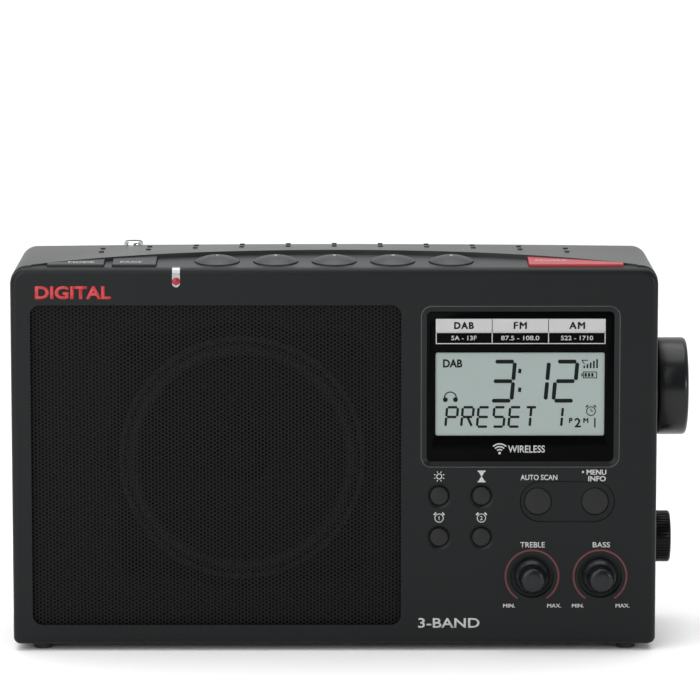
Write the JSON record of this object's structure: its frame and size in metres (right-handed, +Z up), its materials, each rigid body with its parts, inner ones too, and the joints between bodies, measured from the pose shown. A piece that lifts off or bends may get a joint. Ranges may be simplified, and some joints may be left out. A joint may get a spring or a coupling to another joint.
{
  "type": "tabletop radio",
  "caption": "Portable tabletop radio with a perforated speaker grille, display, press keys, tone knobs, side dials, battery bay and telescopic antenna.",
  "frame": {"origin": "on the surface that the four feet stand on, below the middle of the case", "axes": "+X towards the tuning dial's side (the right, seen from the front), +Y from the front panel to the back, +Z up"},
  "size_m": [0.309, 0.099, 0.1804],
  "materials": {
    "front_plastic": "fine satin, dark grey",
    "case_plastic": "fine texture, dark grey",
    "key_plastic": "satin, near black",
    "red_plastic": "satin, dark red",
    "grille_metal": "black powder coat",
    "window": "glossy black",
    "lcd": "grey-green liquid crystal",
    "chrome": "bright",
    "red_lens": "clear red",
    "rubber": "matte",
    "steel": "zinc plated",
    "magnet": "dark ferrite",
    "paper_cone": "pulp",
    "board": "green solder mask",
    "component_plastic": "moulded",
    "cell_sleeve": "printed metal sleeve"
  },
  "bodies": {
    "case": {"front_panel": "front_plastic", "rear_cabinet": "case_plastic", "top_key_plate": "case_plastic", "tuning_collar": "key_plastic", "speaker_grille": "grille_metal", "display_window": "window", "lcd_module": "lcd", "indicator_bezel": "chrome", "indicator_lens": "red_lens", "feet": "rubber", "grip_studs": "rubber", "speaker_surround": "rubber", "speaker_basket": "steel", "speaker_screws": "steel", "case_screws": "steel", "battery_contacts": "steel", "speaker_magnet": "magnet", "ferrite_aerial": "magnet", "speaker_cone": "paper_cone", "front_board": "board", "key_board": "board", "main_board": "board", "tact_switches": "component_plastic", "tone_pots": "component_plastic", "tuning_encoder": "component_plastic", "volume_pot": "component_plastic", "headphone_jack": "component_plastic", "aux_jack": "component_plastic", "power_inlet": "component_plastic", "battery_cells": "cell_sleeve"},
    "light_button": {"light_button": "key_plastic"},
    "sleep_button": {"sleep_button": "key_plastic"},
    "alarm_1_button": {"alarm_1_button": "key_plastic"},
    "alarm_2_button": {"alarm_2_button": "key_plastic"},
    "tuning_scan_button": {"tuning_scan_button": "key_plastic"},
    "menu_button": {"menu_button": "key_plastic"},
    "preset_1_key": {"preset_1_key": "case_plastic"},
    "preset_2_key": {"preset_2_key": "case_plastic"},
    "preset_3_key": {"preset_3_key": "case_plastic"},
    "preset_4_key": {"preset_4_key": "case_plastic"},
    "preset_5_key": {"preset_5_key": "case_plastic"},
    "mode_key": {"mode_key": "case_plastic"},
    "page_key": {"page_key": "case_plastic"},
    "power_key": {"power_key": "red_plastic"},
    "treble_control": {"treble_knob": "key_plastic", "treble_shaft": "steel"},
    "bass_control": {"bass_knob": "key_plastic", "bass_shaft": "steel"},
    "tuning_control": {"tuning_knob": "key_plastic", "tuning_shaft": "steel"},
    "volume_control": {"volume_knob": "key_plastic", "volume_shaft": "steel"},
    "battery_door": {"battery_door": "case_plastic"},
    "antenna_turret": {"antenna_base": "chrome"},
    "antenna_arm": {"antenna_knuckle": "chrome", "antenna_section_1": "chrome"},
    "antenna_tube_2": {"antenna_section_2": "chrome"},
    "antenna_tube_3": {"antenna_section_3": "chrome"},
    "antenna_tube_4": {"antenna_section_4": "chrome"},
    "antenna_tube_5": {"antenna_section_5": "chrome"}
  },
  "joints": [
    {"name": "light_press", "type": "slide", "parent": "case", "child": "light_button", "axis": [0, 1, 0], "range_m": [0, 0.0008], "stiffness_N_per_m": 400, "springref_m": -0.0006},
    {"name": "sleep_press", "type": "slide", "parent": "case", "child": "sleep_button", "axis": [0, 1, 0], "range_m": [0, 0.0008], "stiffness_N_per_m": 400, "springref_m": -0.0006},
    {"name": "alarm_1_press", "type": "slide", "parent": "case", "child": "alarm_1_button", "axis": [0, 1, 0], "range_m": [0, 0.0008], "stiffness_N_per_m": 400, "springref_m": -0.0006},
    {"name": "alarm_2_press", "type": "slide", "parent": "case", "child": "alarm_2_button", "axis": [0, 1, 0], "range_m": [0, 0.0008], "stiffness_N_per_m": 400, "springref_m": -0.0006},
    {"name": "scan_press", "type": "slide", "parent": "case", "child": "tuning_scan_button", "axis": [0, 1, 0], "range_m": [0, 0.0008], "stiffness_N_per_m": 400, "springref_m": -0.0006},
    {"name": "menu_press", "type": "slide", "parent": "case", "child": "menu_button", "axis": [0, 1, 0], "range_m": [0, 0.0008], "stiffness_N_per_m": 400, "springref_m": -0.0006},
    {"name": "preset_1_press", "type": "slide", "parent": "case", "child": "preset_1_key", "axis": [0, 0.0837, -0.9965], "range_m": [0, 0.0008], "stiffness_N_per_m": 400, "springref_m": -0.0006},
    {"name": "preset_2_press", "type": "slide", "parent": "case", "child": "preset_2_key", "axis": [0, 0.0837, -0.9965], "range_m": [0, 0.0008], "stiffness_N_per_m": 400, "springref_m": -0.0006},
    {"name": "preset_3_press", "type": "slide", "parent": "case", "child": "preset_3_key", "axis": [0, 0.0837, -0.9965], "range_m": [0, 0.0008], "stiffness_N_per_m": 400, "springref_m": -0.0006},
    {"name": "preset_4_press", "type": "slide", "parent": "case", "child": "preset_4_key", "axis": [0, 0.0837, -0.9965], "range_m": [0, 0.0008], "stiffness_N_per_m": 400, "springref_m": -0.0006},
    {"name": "preset_5_press", "type": "slide", "parent": "case", "child": "preset_5_key", "axis": [0, 0.0837, -0.9965], "range_m": [0, 0.0008], "stiffness_N_per_m": 400, "springref_m": -0.0006},
    {"name": "mode_press", "type": "slide", "parent": "case", "child": "mode_key", "axis": [0, 0.0837, -0.9965], "range_m": [0, 0.0008], "stiffness_N_per_m": 400, "springref_m": -0.0006},
    {"name": "page_press", "type": "slide", "parent": "case", "child": "page_key", "axis": [0, 0.0837, -0.9965], "range_m": [0, 0.0008], "stiffness_N_per_m": 400, "springref_m": -0.0006},
    {"name": "power_press", "type": "slide", "parent": "case", "child": "power_key", "axis": [0, 0.0837, -0.9965], "range_m": [0, 0.0008], "stiffness_N_per_m": 400, "springref_m": -0.0006},
    {"name": "treble_turn", "type": "hinge", "parent": "case", "child": "treble_control", "pos_m": [0.09, -0.044, 0.0346], "axis": [0, 1, 0], "range_deg": [-150, 150]},
    {"name": "bass_turn", "type": "hinge", "parent": "case", "child": "bass_control", "pos_m": [0.121, -0.044, 0.0346], "axis": [0, 1, 0], "range_deg": [-150, 150]},
    {"name": "tuning_turn", "type": "hinge", "parent": "case", "child": "tuning_control", "pos_m": [0.1465, 0, 0.1158], "axis": [1, 0, 0], "continuous": true},
    {"name": "volume_turn", "type": "hinge", "parent": "case", "child": "volume_control", "pos_m": [0.1465, 0, 0.0452], "axis": [1, 0, 0], "range_deg": [-150, 150]},
    {"name": "battery_door_open", "type": "hinge", "parent": "case", "child": "battery_door", "pos_m": [0, 0.0429, 0.0111], "axis": [-1, 0, 0], "range_deg": [0, 75]},
    {"name": "antenna_swivel", "type": "hinge", "parent": "case", "child": "antenna_turret", "pos_m": [-0.0942, 0.0383, 0.1725], "axis": [0, 0, 1], "range_deg": [0, 180]},
    {"name": "antenna_fold", "type": "hinge", "parent": "antenna_turret", "child": "antenna_arm", "pos_m": [-0.0942, 0.0383, 0.1725], "axis": [0, -1, 0], "range_deg": [0, 90]},
    {"name": "antenna_extend_2", "type": "slide", "parent": "antenna_arm", "child": "antenna_tube_2", "axis": [1, 0, 0], "range_m": [0, 0.14]},
    {"name": "antenna_extend_3", "type": "slide", "parent": "antenna_tube_2", "child": "antenna_tube_3", "axis": [1, 0, 0], "range_m": [0, 0.14]},
    {"name": "antenna_extend_4", "type": "slide", "parent": "antenna_tube_3", "child": "antenna_tube_4", "axis": [1, 0, 0], "range_m": [0, 0.14]},
    {"name": "antenna_extend_5", "type": "slide", "parent": "antenna_tube_4", "child": "antenna_tube_5", "axis": [1, 0, 0], "range_m": [0, 0.14]}
  ]
}
